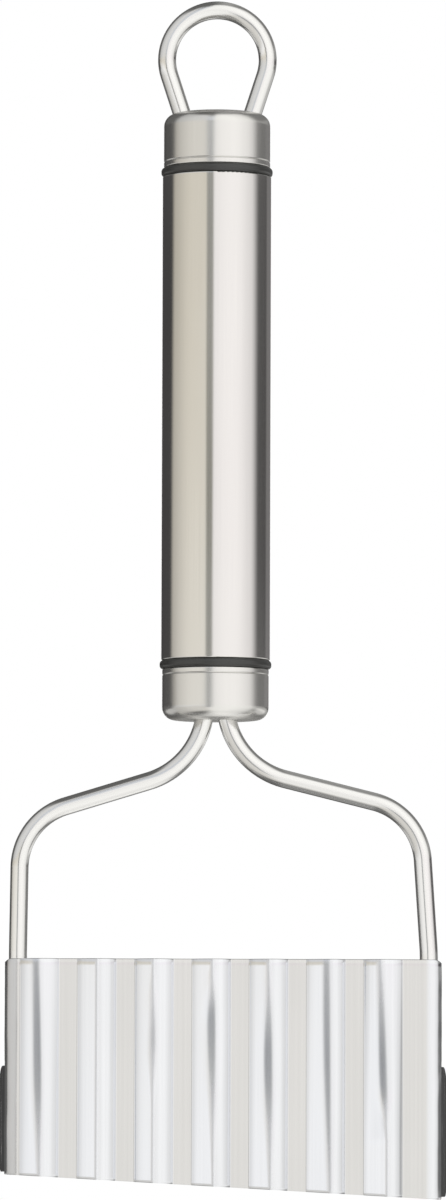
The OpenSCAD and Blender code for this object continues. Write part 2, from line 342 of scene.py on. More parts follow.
# What every grain takes in and puts out
GRAIN = {"Colour": "Color", "Roughness": "Float"}


@made_once
def steel_grain(name):
    """Shader group: fine drawn lines and faint handling marks of bare steel."""
    tree, sent, result = new_group(
        name, "ShaderNodeTree",
        {"Lines": "Vector", "Marks": "Vector", **GRAIN, "Shade": "Float", "Spread": "Float"},
        {**GRAIN, "Height": "Float"},
    )
    height = noise(tree, sent["Lines"], detail=3.0, rough=0.6)
    line = height - 0.5
    spot = noise(tree, sent["Marks"]) - 0.5
    level = 1.0 + sent["Shade"] * (line + spot * 0.6)
    rough = sent["Roughness"] + sent["Spread"] * (line * 0.6 + spot)
    colour = times(tree, sent["Colour"], level)
    fill_in(result, {"Colour": colour, "Roughness": rough.most(0.03), "Height": height})
    return tree


@made_once
def moulded_grain(name):
    """Shader group: the fine matt grain of a moulded piece."""
    tree, sent, result = new_group(
        name, "ShaderNodeTree",
        {"Place": "Vector", "Grain": "Float", **GRAIN},
        {**GRAIN, "Height": "Float"},
    )
    height = noise(tree, sent["Place"], sent["Grain"], 3.0)
    speck = height - 0.5
    colour = times(tree, sent["Colour"], 1.0 + speck * 0.5)
    rough = sent["Roughness"] + speck * 0.2
    fill_in(result, {"Colour": colour, "Roughness": rough, "Height": height})
    return tree


def new_material(name):
    """Empty node material with its node tree and its shader."""
    material = bpy.data.materials.new(name)
    material.use_nodes = True
    tree = material.node_tree
    return material, tree, tree.nodes["Principled BSDF"]


def cover(shader, grain, strength, depth, **fixed):
    """Lead a grain's colour, roughness and height to a shader, and set what is fixed."""
    values = {"Strength": strength, "Distance": depth, "Height": out(grain, "Height")}
    relief = feed(shader.id_data, "ShaderNodeBump", values)
    colour, rough = out(grain, "Colour"), out(grain, "Roughness")
    fill_in(shader, {"Base Color": colour, "Roughness": rough, "Normal": relief, **fixed})


def piece_lay(tree):
    """Place on a piece, from its own coordinates."""
    return out(add(tree, "ShaderNodeTexCoord"), "Object")


def round_lay(tree):
    """Place on the handle: round its axis, with the seam behind, out from it and along it."""
    x, y, z = split(piece_lay(tree))
    turn = x.call("ARCTAN2", -y)
    far = (x * x + y * y).root()
    return join(tree, turn * HANDLE_R, far, z)


def painted(tree, label, key="Fac"):
    """What the points of a piece hold under a label."""
    return out(add(tree, "ShaderNodeAttribute", attribute_name=label), key)


def wire_lay(tree):
    """Place on a wire: round its section and along its run."""
    return painted(tree, "lay", "Vector")


def steel(name, colour, rough, lines, marks, lay, shade=0.06, spread=0.08, bump=0.02):
    """Bare steel whose lines follow the lay of a sheet, a wire or the round handle."""
    material, tree, shader = new_material(name)
    place = lay(tree)
    values = {"Colour": (*colour, 1.0), "Shade": shade, "Roughness": rough, "Spread": spread}
    for label, scale in (("Lines", lines), ("Marks", marks)):
        values[label] = feed(tree, "ShaderNodeMapping", {"Vector": place, "Scale": scale})
    grain = add(tree, "ShaderNodeGroup", values, node_tree=steel_grain())
    cover(shader, grain, bump, 0.02 * MM, Metallic=1.0)
    return material, grain


def moulded(name, colour, rough, grain, gloss=0.5):
    """Moulded rubber or nylon: a fine matt grain over a dark body."""
    material, tree, shader = new_material(name)
    place = piece_lay(tree)
    values = {"Place": place, "Grain": grain, "Colour": (*colour, 1.0), "Roughness": rough}
    group = add(tree, "ShaderNodeGroup", values, node_tree=moulded_grain())
    cover(shader, group, 0.15, 0.05 * MM, **{"Specular IOR Level": gloss})
    return material


def dress(material, *nodes):
    """Give solids that stay in view their finish."""
    for node in nodes:
        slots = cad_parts[node].data.materials
        slots.clear()
        slots.append(material)


def show(name, data):
    """New object in the scene."""
    made = bpy.data.objects.new(name, data)
    bpy.context.scene.collection.objects.link(made)
    return made


def make_piece(name, node, mesh, tree, values):
    """Run a tree on a carrier and keep the plain mesh that comes out in place of a solid."""
    carrier = show(name + "_carrier", mesh)
    modifier = carrier.modifiers.new("make", "NODES")
    modifier.node_group = tree
    # The inputs are set before the tree is evaluated for the first time
    for item in tree.interface.items_tree:
        if item.in_out == "INPUT" and item.name in values:
            modifier[item.identifier] = values[item.name]
    bpy.context.view_layer.update()
    graph = bpy.context.evaluated_depsgraph_get()
    made = bpy.data.meshes.new_from_object(carrier.evaluated_get(graph))
    bpy.data.objects.remove(carrier)
    if not made.polygons:
        raise RuntimeError(f"{name} came out empty")
    made.name = name
    made.materials.clear()
    made.materials.append(values["Finish"])
    made.shade_smooth()
    made.set_sharp_from_angle(angle=SMOOTH_BELOW)
    piece = show(name, made)
    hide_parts(node)
    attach(piece, BODY)


def paint(mesh, label, values):
    """Write a value to each point of a mesh."""
    mesh.attributes.new(label, "FLOAT", "POINT").data.foreach_set("value", values)


def mark(tree, label):
    """A value that the points of a carrier hold."""
    return feed(tree, "GeometryNodeInputNamedAttribute", {"Name": label}, data_type="FLOAT")


def capture(tree, geometry, values, kind="FLOAT"):
    """Keep terms on the points of a geometry: the geometry, then each kept term."""
    node = add(tree, "GeometryNodeCaptureAttribute", {0: geometry}, domain="POINT")
    for place, (label, value) in enumerate(values.items(), start=1):
        node.capture_items.new(kind, label)
        plug(node.inputs[place], value)
    return [out(node, key) for key in range(len(values) + 1)]


def store(tree, geometry, label, value, kind):
    """Write a term to the points of a geometry."""
    values = {"Geometry": geometry, "Name": label, "Value": value}
    return feed(tree, "GeometryNodeStoreNamedAttribute", values, data_type=kind, domain="POINT")


def hand_over(tree, result, geometry, finish):
    """End a tree in plain faces with their finish."""
    real = feed(tree, "GeometryNodeRealizeInstances", {0: geometry})
    values = {"Geometry": real, "Material": finish}
    plug(result.inputs[0], feed(tree, "GeometryNodeSetMaterial", values))


@made_once
def bent_wire(name):
    """Geometry tree: a line of corners, rounded and made into a wire."""
    steps = {"Sides": "Int", "Bend Steps": "Int"}
    tree, sent, result = new_group(
        name, "GeometryNodeTree",
        {"Corners": "Geometry", "Diameter": "Float", **steps, "Finish": "Material"},
        {"Wire": "Geometry"},
    )
    corners = feed(tree, "GeometryNodeMeshToCurve", {"Mesh": sent["Corners"]})
    bends = {"Curve": corners, "Radius": mark(tree, "bend"), "Count": sent["Bend Steps"]}
    path = feed(tree, "GeometryNodeFilletCurve", {**bends, "Limit Radius": True}, mode="POLY")
    radius = sent["Diameter"] * 0.5
    ring = {"Resolution": sent["Sides"], "Radius": radius}
    circle = feed(tree, "GeometryNodeCurvePrimitiveCircle", ring, mode="RADIUS")
    spline = add(tree, "GeometryNodeSplineParameter")
    run, along = capture(tree, path, {"along": out(spline, "Length")})
    section, around = capture(tree, circle, {"around": out(spline, "Factor")})
    sweep = {"Curve": run, "Profile Curve": section, "Fill Caps": True}
    wire = feed(tree, "GeometryNodeCurveToMesh", sweep)
    turn = around * (2 * pi)
    lay = join(tree, radius * turn.call("COSINE"), radius * turn.call("SINE"), along)
    hand_over(tree, result, store(tree, wire, "lay", lay, "FLOAT_VECTOR"), sent["Finish"])
    return tree


def corner_line(name, corners):
    """Mesh line of (x, z, bend radius) corners in the plane of the wires."""
    mesh = bpy.data.meshes.new(name)
    edges = [(i, i + 1) for i in range(len(corners) - 1)]
    mesh.from_pydata([(x, 0.0, z) for x, z, _ in corners], edges, [])
    paint(mesh, "bend", [r for _, _, r in corners])
    return mesh


def loop_corners(wires):
    """Corners of the loop: both legs and the corners that the round top touches."""
    centre = wires.diameter / 2 - wires.loop_r
    lean = wires.loop_lean
    top_x = wires.loop_r * cos(lean)
    top_z = centre - wires.loop_r * sin(lean)
    leg = (wires.loop_drop + wires.leg_in + top_z) / cos(lean)
    foot = (top_x - leg * sin(lean), top_z - leg * cos(lean))
    third = (pi + 2 * lean) / 3
    reach = wires.loop_r / cos(third / 2)
    bend = wires.loop_r * SHY
    turns = (-lean + third / 2, pi / 2, pi + lean - third / 2)
    ring = [(reach * cos(t), centre + reach * sin(t), bend) for t in turns]
    return [foot + (0.0,)] + ring + [(-foot[0], foot[1], 0.0)]


def reaches(blade):
    """Distance from the handle's axis to the left and to the right arm at the blade."""
    half = ((blade.flutes - 1) * blade.pitch + blade.flute_w) / 2
    return half + blade.shift + blade.left_flat, half - blade.shift + blade.right_flat


def arm_corners(wires, reach, slope, lean, hand):
    """Corners of one arm, from inside the lower plug to its end in the blade."""
    half = wires.arm_pitch / 2
    neck_z = CAP_Z - wires.neck_drop
    steepest = max(wires.left_lean, wires.right_lean)
    entry_z = TOP_Z + ENTRY_ROOM * wires.entry_bend * tan(steepest / 2)
    fall = neck_z + half * tan(slope) - entry_z
    corner = (reach - fall * tan(lean)) / (1 - tan(slope) * tan(lean))
    return [
        (hand * half, CAP_Z + wires.arm_in, 0.0),
        (hand * half, neck_z, wires.neck_bend),
        (hand * corner, neck_z - (corner - half) * tan(slope), wires.shoulder_bend),
        (hand * reach, entry_z, wires.entry_bend),
        (hand * reach, TOP_Z - wires.seat, 0.0),
    ]


def even(start, end, count):
    """Evenly spaced values, both ends included."""
    return [start + (end - start) * i / (count - 1) for i in range(count)]


def rounding(past, r):
    """How far a round corner has come in at a distance past its start."""
    if past <= 0:
        return 0.0
    return r - sqrt(max(r * r - past * past, 0.0))


class Blank:
    """The flat blank of the blade: sheet, rolled ends and ears, before it is formed."""

    MARKS = ("bend", "press", "aside", "head", "foot")
    # Rows in the rounding of the cutting edge and of the top edge, as shares of its height
    FOOT_ROWS = (0.0, 0.1, 0.24, 0.5, 1.0)
    HEAD_ROWS = (1.0, 0.6, 0.3, 0.1, 0.0)
    BEVEL_ROWS, BODY_ROWS, CLASP_ROWS = 4, 26, 18
    # Columns on half a flute, on the whole sheet and in the ends
    CROWN_COLUMNS, FLANK_COLUMNS, FOOT_COLUMNS = 21, 7, 16
    SHEET_COLUMNS = 120
    BEND_COLUMNS, ROLL_COLUMNS, EAR_COLUMNS = 12, 16, 22
    CROWN_REACH = 1.2 * MM
    # The foot's columns, in foot radii before and past the side of the flute
    FOOT_BEFORE, FOOT_PAST = 3, 0.2
    # Least distance of a plain column from the flutes' own, and of any two columns
    CLEAR, CLOSEST = 0.25 * MM, 0.004 * MM
    # Depth at which the rounding of a top corner has died out
    CORNER_REACH = 3 * MM

    def __init__(self, blade, wires):
        self.blade = blade
        self.left, self.right = reaches(blade)
        self.mid_r = wires.diameter / 2 + blade.fit_gap + blade.sheet / 2
        self.clasp_z = TOP_Z - blade.clasp_h
        self.points, self.faces = [], []
        self.marks = {label: [] for label in self.MARKS}

    def reach(self, side):
        """Distance from the handle's axis to the arm on one side."""
        return self.right if side > 0 else self.left

    def edge_z(self, x):
        """Height of the cutting edge."""
        return TOP_Z - self.blade.height - x * tan(self.blade.slant)

    def columns(self):
        """Places across the sheet, close together where a flute bends."""
        blade = self.blade
        half = blade.flute_w / 2
        flank = half - self.FOOT_BEFORE * blade.foot_r
        across = even(0, self.CROWN_REACH, self.CROWN_COLUMNS)
        across += even(self.CROWN_REACH, flank, self.FLANK_COLUMNS)
        across += even(flank, half + self.FOOT_PAST * blade.foot_r, self.FOOT_COLUMNS)
        first = -(blade.flutes - 1) / 2 * blade.pitch - blade.shift
        places = {-self.left, self.right}
        for i in range(blade.flutes):
            middle = first + i * blade.pitch
            places.update(middle + side * u for side in (-1, 1) for u in across)
        for x in even(-self.left, self.right, self.SHEET_COLUMNS):
            if all(abs(x - p) > self.CLEAR for p in places):
                places.add(x)
        ordered = sorted(p for p in places if -self.left <= p <= self.right)
        kept = ordered[:1]
        for x in ordered[1:]:
            if x - kept[-1] > self.CLOSEST:
                kept.append(x)
        return kept

    def rows(self):
        """Each row as a kind and a value: a height over the edge, a share of the body or a height."""
        blade = self.blade
        low = [("edge", t * blade.foot_round) for t in self.FOOT_ROWS]
        low += [("edge", h) for h in even(blade.ear_rise, blade.bevel_h, self.BEVEL_ROWS)]
        body = [("mix", t) for t in even(0, 1, self.BODY_ROWS)[1:]]
        head = TOP_Z - blade.top_round
        high = [("flat", z) for z in even(self.clasp_z, head, self.CLASP_ROWS)[:-1]]
        high += [("flat", TOP_Z - t * blade.top_round) for t in self.HEAD_ROWS]
        return low + body + high

    def row_z(self, row, x):
        """Height of a row at a place across the formed sheet."""
        kind, value = row
        if kind == "flat":
            return value
        low = self.edge_z(x)
        if kind == "edge":
            return low + value
        start = low + self.blade.bevel_h
        return start + (self.clasp_z - self.blade.slot_h - start) * value

    def corner_drop(self, x, z):
        """How far a top corner's rounding lowers a point."""
        blade = self.blade
        outer = self.mid_r + blade.sheet / 2
        past = abs(x) - (self.reach(x) + outer - blade.corner_r)
        left_over = max(1 - (TOP_Z - z) / self.CORNER_REACH, 0.0)
        return rounding(past, blade.corner_r) * left_over

    def press(self, flat_x, z):
        """How flat the press left the crown at a height, and how far the flat lies aside."""
        last = len(PRESS_MARKS) - 1
        number = round((flat_x + self.blade.shift) / self.blade.pitch + last / 2)
        start, widest, end, amount, aside, drift = PRESS_MARKS[max(0, min(number, last))]
        down = (TOP_Z - z) / self.blade.height
        past = (down - start) / (widest - start) if down < widest else (end - down) / (end - widest)
        past = max(0.0, min(past, 1.0))
        return amount * past * past * (3 - 2 * past), (aside + drift * (min(down, end) - 0.5)) * MM

    def point(self, flat_x, z, bend, head=1.0, foot=1.0):
        """New point with its marks."""
        self.points.append((flat_x, 0.0, z))
        for label, value in zip(self.MARKS, (bend, *self.press(flat_x, z), head, foot)):
            self.marks[label].append(value)
        return len(self.points) - 1

    def column(self, flat_x, formed_x, rows, bend):
        """Points of one column, from the foot up."""
        made = []
        for row in rows:
            z = self.row_z(row, formed_x)
            head, foot = TOP_Z - z, z - self.edge_z(formed_x)
            z -= self.corner_drop(formed_x, z)
            made.append(self.point(flat_x, z, bend, head, foot))
        return made

    def fill(self, grid, side=1):
        """Quads between neighbouring columns of points, all facing the front."""
        for a, b in zip(grid, grid[1:]):
            for i in range(len(a) - 1):
                quad = (a[i], b[i], b[i + 1], a[i + 1])
                self.faces.append(quad if side > 0 else quad[::-1])

    def run_on(self, side, first, distances, rows, bend):
        """Columns from a first one on round an arm, filled with faces."""
        reach = self.reach(side)
        grid = [first]
        for e in distances[1:]:
            formed_x = side * (reach + self.mid_r * sin(e / self.mid_r))
            grid.append(self.column(side * (reach + e), formed_x, rows, bend))
        self.fill(grid, side)
        return grid[-1]

    def ear(self, side, first, start_e):
        """The ear behind the bend, with its two outer corners rounded."""
        blade = self.blade
        heights = [self.points[i][2] for i in first]
        low, high = heights[0], heights[-1]
        grid = [first]
        for t in even(0, 1, self.EAR_COLUMNS)[1:]:
            q = blade.ear_l * sin(pi / 2 * t)
            flat_x = side * (self.reach(side) + start_e + q)
            foot = low + rounding(q - blade.ear_l + blade.ear_low_r, blade.ear_low_r)
            head = high - rounding(q - blade.ear_l + blade.ear_top_r, blade.ear_top_r)
            tall = [foot + (head - foot) * ((z - low) / (high - low)) for z in heights]
            grid.append([self.point(flat_x, z, blade.ear_bend) for z in tall])
        self.fill(grid, side)

    def end(self, side, first, rows):
        """Common bend of one end, then the roll above and the ear below it."""
        blade = self.blade
        bend_e = blade.ear_bend * self.mid_r
        roll_e = blade.clasp_wrap * self.mid_r
        bent = even(0, bend_e, self.BEND_COLUMNS)
        last = self.run_on(side, first, bent, rows, blade.ear_bend)
        above = [i for i, row in enumerate(rows) if row[0] == "flat"]
        for i in above:
            self.marks["bend"][last[i]] = blade.clasp_wrap
        upper = [rows[i] for i in above]
        rolled = even(bend_e, roll_e, self.ROLL_COLUMNS)
        self.run_on(side, [last[i] for i in above], rolled, upper, blade.clasp_wrap)
        below = range(rows.index(("edge", blade.ear_rise)), above[0])
        self.ear(side, [last[i] for i in below], bend_e)

    def build(self):
        """The blank as a mesh whose points hold their marks."""
        rows = self.rows()
        middle = [self.column(x, x, rows, 0.0) for x in self.columns()]
        self.fill(middle)
        for side, first in ((1, middle[-1]), (-1, middle[0])):
            self.end(side, first, rows)
        mesh = bpy.data.meshes.new("blade blank")
        mesh.from_pydata(self.points, [], self.faces)
        for label, values in self.marks.items():
            paint(mesh, label, values)
        return mesh


class BladeForm:
    """Terms of the rule that forms the blank: where each point goes, and how it looks."""

    # Width of a crown and of its satin, in half flutes, and what a flat crown adds to each
    CROWN_W, WORN_W = 0.04, 0.2
    SATIN_W, WORN_SATIN_W = 0.12, 0.36
    # Share of its satin that a flat crown loses
    WORN_SHINE = 0.85
    # The dents grow over this share of the roll's radius
    DENTS_GROW = 0.5
    # Satin of the left roll: how strong, and where it starts and ends in radii of the roll
    ROLL_SATIN = 0.9
    SATIN_START = 0.12
    SATIN_END = (0.45, 0.95)
    # How much of the painted reflection the left roll gets, and the borders of the painted reflection
    # in radii of a flute's foot
    ROLL_PAINTED_REFLECTION = 0.5
    FLUTE_BORDER, RIGHT_BORDER = 0.9, 0.4
    # Share of the cutting edge's thickness that is rounded off
    EDGE_EASE = 0.7

    def __init__(self, tree, sent):
        self.tree, self.sent = tree, sent
        self.x, _, self.z = split(feed(tree, "GeometryNodeInputPosition"))
        self.over_right = self.x - sent["Right reach"]
        self.over_left = -self.x - sent["Left reach"]
        self.past = self.over_right.most(0.0) + self.over_left.most(0.0)
        self.inner = self.x.least(sent["Right reach"]).most(-sent["Left reach"])
        self.half = sent["Flute width"] * 0.5
        most = (sent["Flutes"] - 1.0) * 0.5
        placed = self.inner + sent["Shift"]
        number = (placed / sent["Pitch"]).call("ROUND").least(most).most(-most)
        self.off = placed - number * sent["Pitch"]
        self.press, self.aside = mark(tree, "press"), mark(tree, "aside")
        self.near = self.off - self.aside

    def rolled(self):
        """Place across and depth: the sheet runs round the arm at its ends, then straight on."""
        roll_r = self.sent["Roll radius"]
        turn = (self.past / roll_r).least(mark(self.tree, "bend"))
        rest = self.past - turn * roll_r
        place = join(self.tree, self.x * DENT_ACROSS, 0.0, self.z * DENT_ALONG)
        dents = self.sent["Dents"] * (noise(self.tree, place, detail=1.0) - 0.5)
        round_r = roll_r + dents * self.past.ramp(0.0, roll_r * self.DENTS_GROW)
        sine, cosine = turn.call("SINE"), turn.call("COSINE")
        across = self.inner + self.x.call("SIGN") * (round_r * sine + rest * cosine)
        return across, rest * sine - round_r * cosine

    def fluted(self):
        """Height of the flutes, and what the press adds to it on the front alone."""
        sent, half, off, near = self.sent, self.half, self.off, self.near
        foot_r, height = sent["Foot radius"], sent["Flute height"]

        # A round crown and two round feet
        both_r = (half * half + height * height) / (height * 2.0)
        crown_r = both_r - foot_r
        u = abs(off)
        crown = height - crown_r + (crown_r * crown_r - u * u).root()
        foot_u = (half - u).most(0.0)
        foot = foot_r - (foot_r * foot_r - foot_u * foot_u).root()
        on_crown = u.below(crown_r / both_r * half)
        flute = crown * on_crown + foot * (1.0 - on_crown)

        # The press leaves each crown facing a little to the left and, on the front, round or flat
        inside = (1.0 - off * off / (half * half)).most(0.0)
        lean = (sent["Face slope"] + self.aside / crown_r) * near * inside * inside
        sharp_r = sent["Crown radius"]
        local_r = sharp_r * (sent["Worn radius"] / sharp_r).power(self.press)
        stretch = (crown_r + sent["Sheet"] * 0.5) / crown_r
        gain = stretch / local_r - 1.0 / crown_r
        crown_w = half * (self.CROWN_W + self.press * self.WORN_W)
        bell = (-(near * near) / (crown_w * crown_w * 2.0)).call("EXPONENT")
        return flute + lean, gain * crown_w * crown_w * bell * stretch

    def burnish(self):
        """Painted reflection: where the sheet takes the lighter flute tone, on the flutes and the
        rolled ends.
        """
        foot_r = self.sent["Foot radius"]
        flutes = abs(self.off).fade(self.half - foot_r * self.FLUTE_BORDER, self.half)
        right = (self.over_right + foot_r).ramp(0.0, foot_r * self.RIGHT_BORDER)
        left = self.over_left.ramp(0.0, foot_r) * self.ROLL_PAINTED_REFLECTION
        return flutes.most(right).most(left)

    def satin(self):
        """Where the sheet stayed satin: along round crowns and at the start of the left roll."""
        roll_r = self.sent["Roll radius"]
        width = self.half * (self.SATIN_W + self.press * self.WORN_SATIN_W)
        crowns = (1.0 - self.press * self.WORN_SHINE) * abs(self.near).fade(0.0, width)
        start = self.over_left.ramp(0.0, roll_r * self.SATIN_START)
        end = self.past.fade(*(roll_r * radii for radii in self.SATIN_END))
        return crowns.most(start * end * self.ROLL_SATIN)

    def ground(self):
        """How much the bevel takes off the back."""
        sent = self.sent
        rise = self.z - (sent["Edge height"] - self.inner * sent["Edge slope"])
        depth = (1.0 - rise / sent["Bevel"]).most(0.0) * self.past.below(TOUCH)
        return depth * (sent["Sheet"] - sent["Edge"])

    def rounded_off(self):
        """How far the front rounds off to the top edge and, more thinly, to the cutting edge."""
        sent = self.sent

        def toward(label, reach, depth):
            near = (1.0 - mark(self.tree, label) / reach).most(0.0)
            return depth * (1.0 - (1.0 - near * near).root())

        thin = sent["Edge"] * self.EDGE_EASE
        top = toward("head", sent["Top round"], sent["Top round"])
        return top + toward("foot", sent["Foot round"], thin)


def form_sizes(blade):
    """Sizes that the forming tree takes, by the names of their properties."""
    known = blade.bl_rna.properties
    return {known[key].name: getattr(blade, key) for key in FLUTE_SIZES + SHEET_SIZES}


@made_once
def fluted_blade(name):
    """Geometry tree: forms a flat blank into flutes, rolled ends and ears, and gives it thickness."""
    labels = form_sizes(bpy.context.scene.cutter_blade)
    sizes = dict.fromkeys((*labels, *FORM_PLACES), "Float")
    tree, sent, result = new_group(
        name, "GeometryNodeTree",
        {"Blank": "Geometry", **sizes, "Flutes": "Int", "Finish": "Material"},
        {"Blade": "Geometry"},
    )

    def moved(**values):
        ins = {label.title(): value for label, value in values.items()}
        return feed(tree, "GeometryNodeSetPosition", ins)

    form = BladeForm(tree, sent)
    across, depth = form.rolled()
    flute, relief = form.fluted()
    formed = moved(geometry=sent["Blank"], position=join(tree, across, depth - flute, form.z))
    looks = {
        "cut": form.ground(),
        "burnish": form.burnish(),
        "eased": form.rounded_off(),
        "satin": form.satin(),
        "relief": relief,
    }
    kept, cut, burnish, eased_by, satin, relief = capture(tree, formed, looks)
    normals = {"normal": feed(tree, "GeometryNodeInputNormal")}
    kept, normal = capture(tree, kept, normals, "VECTOR")

    # The back stands half the sheet behind the blank, less the bevel, and the front is drawn from it
    back = moved(geometry=kept, offset=times(tree, normal, cut - sent["Sheet"] * 0.5))
    drawn = {"Mesh": back, "Offset Scale": 0.0, "Individual": False}
    wall = add(tree, "GeometryNodeExtrudeMesh", drawn, mode="FACES")
    thick = times(tree, normal, sent["Sheet"] - cut - eased_by)
    raised = join(tree, 0.0, -relief, 0.0)
    ahead = feed(tree, "ShaderNodeVectorMath", {0: thick, 1: raised})
    front = moved(geometry=out(wall), selection=out(wall, "Top"), offset=ahead)
    both = add(tree, "GeometryNodeJoinGeometry", {0: front})
    plug(both.inputs[0], feed(tree, "GeometryNodeFlipFaces", {0: back}))
    merged = {"Geometry": out(both), "Distance": TOUCH}
    marked = feed(tree, "GeometryNodeMergeByDistance", merged)
    # The painted reflection mask and the satin mask are kept on the points for the finish
    for label, value in (("burnish", burnish), ("satin", satin)):
        marked = store(tree, marked, label, value, "FLOAT")
    hand_over(tree, result, marked, sent["Finish"])
    return tree


class CUTTER_OT_handle(bpy.types.Operator):
    """Finish the brushed tube and its two caps"""

    bl_idname = "cutter.handle"
    bl_label = "Handle"

    def execute(self, context):
        look = context.scene.cutter_finishes
        tube, _ = steel(
            "brushed tube steel", look.handle, look.handle_rough,
            lines=(5200, 0, 22), marks=(60, 60, 18), lay=round_lay, shade=0.1
        )
        cap, grain = steel(
            "satin cap steel", look.handle, look.cap_rough,
            lines=(1500, 0, 20), marks=(90, 90, 60), lay=round_lay, bump=0.004
        )
        _, far, _ = split(round_lay(cap.node_tree))
        ends = (CAP_R * radii for radii in CAP_END)
        plug(grain.inputs["Roughness"], far.ramp(*ends, look.cap_end_rough, look.cap_rough))
        dress(tube, "handle_tube")
        dress(cap, "upper_cap", "lower_cap")
        return {"FINISHED"}


class CUTTER_OT_rings(bpy.types.Operator):
    """Finish the black rings and the plugs inside the handle"""

    bl_idname = "cutter.rings"
    bl_label = "Rings and plugs"

    def execute(self, context):
        look = context.scene.cutter_finishes
        rubber = moulded("ring rubber", look.rubber, rough=0.34, grain=1600, gloss=0.75)
        nylon = moulded("plug nylon", look.nylon, rough=0.6, grain=900)
        dress(rubber, "upper_ring", "lower_ring")
        dress(nylon, "upper_plug", "lower_plug")
        return {"FINISHED"}


class CUTTER_OT_wires(bpy.types.Operator):
    """Bend the hanging loop and the two arms"""

    bl_idname = "cutter.wires"
    bl_label = "Loop and arms"

    def execute(self, context):
        wires = context.scene.cutter_wires
        look = context.scene.cutter_finishes
        left, right = reaches(context.scene.cutter_blade)
        finish, _ = steel(
            "bright wire steel", look.wire, look.wire_rough,
            lines=(2600, 2600, 25), marks=(150, 150, 60), lay=wire_lay, spread=0.06
        )
        values = {"Diameter": wires.diameter, "Sides": wires.sides, "Bend Steps": wires.steps}
        values["Finish"] = finish
        routes = (
            ("hanging_loop", loop_corners(wires)),
            ("left_arm", arm_corners(wires, left, wires.left_slope, wires.left_lean, -1)),
            ("right_arm", arm_corners(wires, right, wires.right_slope, wires.right_lean, 1)),
        )
        for node, corners in routes:
            line = corner_line(node + " corners", corners)
            make_piece(node + "_wire", node, line, bent_wire(), values)
        return {"FINISHED"}


class CUTTER_OT_blade(bpy.types.Operator):
    """Form the fluted blade from its flat blank"""

    bl_idname = "cutter.blade"
    bl_label = "Blade"

    def execute(self, context):
        blade = context.scene.cutter_blade
        look = context.scene.cutter_finishes
        finish, grain = steel(
            "rolled blade steel", look.flutes, look.blade_rough,
            lines=(1400, 1400, 9), marks=(70, 70, 40), lay=piece_lay,
            shade=0.13, spread=0.06, bump=0.01
        )
        tree = finish.node_tree
        # Painted reflection: the lighter flute tone is laid over the flat tone where the painted
        # reflection mask is high
        tones = {0: painted(tree, "burnish"), 6: (*look.flats, 1.0), 7: (*look.flutes, 1.0)}
        tone = add(tree, "ShaderNodeMix", tones, data_type="RGBA")
        rough = look.blade_rough + painted(tree, "satin") * look.satin
        fill_in(grain, {"Colour": out(tone, 2), "Roughness": rough})
        blank = Blank(blade, context.scene.cutter_wires)
        reach = (blank.mid_r, blank.left, blank.right)
        slopes = (blank.edge_z(0.0), tan(blade.slant), tan(blade.face))
        values = {**form_sizes(blade), **dict(zip(FORM_PLACES, reach + slopes)), "Finish": finish}
        mesh = blank.build()
        make_piece("fluted_blade", "blade", mesh, fluted_blade(), values)
        return {"FINISHED"}


